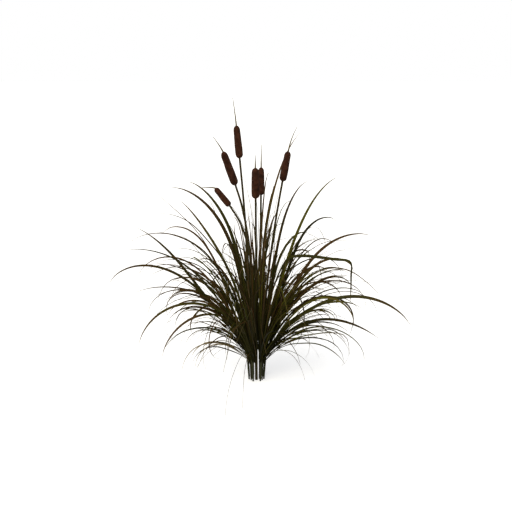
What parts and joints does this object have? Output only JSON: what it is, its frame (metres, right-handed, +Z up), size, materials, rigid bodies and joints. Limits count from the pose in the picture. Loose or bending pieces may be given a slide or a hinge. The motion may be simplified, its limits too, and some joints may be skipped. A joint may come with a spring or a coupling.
{
  "type": "cattail clump",
  "caption": "Standing clump of cattail: brown seed heads on slender stems above arching narrow leaves, cut off level at the ground.",
  "frame": {"origin": "centre of the middle shoot's cut face, in the middle of the foot, on the surface that the clump stands on", "axes": "+Z up along the standing clump; -Y towards the front, where the lowest seed head stands left of the middle; +X to the right of that front"},
  "size_m": [1.308, 1.1791, 1.2882],
  "materials": {
    "stem": "satin",
    "head": "matte",
    "tip": "matte",
    "shoot": "satin",
    "blade": "satin"
  },
  "bodies": {
    "root": {"stem_tallest": "stem", "head_tallest": "head", "tip_tallest": "tip", "stem_left_high": "stem", "head_left_high": "head", "tip_left_high": "tip", "stem_left_low": "stem", "head_left_low": "head", "tip_left_low": "tip", "stem_front": "stem", "head_front": "head", "tip_front": "tip", "stem_back": "stem", "head_back": "head", "tip_back": "tip", "stem_right": "stem", "head_right": "head", "tip_right": "tip", "shoot_1": "shoot", "tuft_1": "blade", "tuft_2": "blade", "leaf_01": "blade", "leaf_02": "blade", "shoot_2": "shoot", "leaf_03": "blade", "leaf_04": "blade", "tuft_3": "blade", "leaf_05": "blade", "shoot_3": "shoot", "leaf_06": "blade", "tuft_4": "blade", "leaf_07": "blade", "leaf_08": "blade", "shoot_4": "shoot", "tuft_5": "blade", "leaf_09": "blade", "leaf_10": "blade", "tuft_6": "blade", "shoot_5": "shoot", "tuft_7": "blade", "tuft_8": "blade", "leaf_11": "blade", "leaf_12": "blade", "shoot_6": "shoot", "tuft_9": "blade", "leaf_13": "blade", "tuft_10": "blade", "leaf_14": "blade", "shoot_7": "shoot", "leaf_15": "blade", "leaf_16": "blade", "leaf_17": "blade", "tuft_11": "blade", "shoot_8": "shoot", "leaf_18": "blade", "leaf_19": "blade", "tuft_12": "blade", "tuft_13": "blade", "shoot_middle": "shoot", "tuft_middle": "blade"}
  },
  "joints": []
}
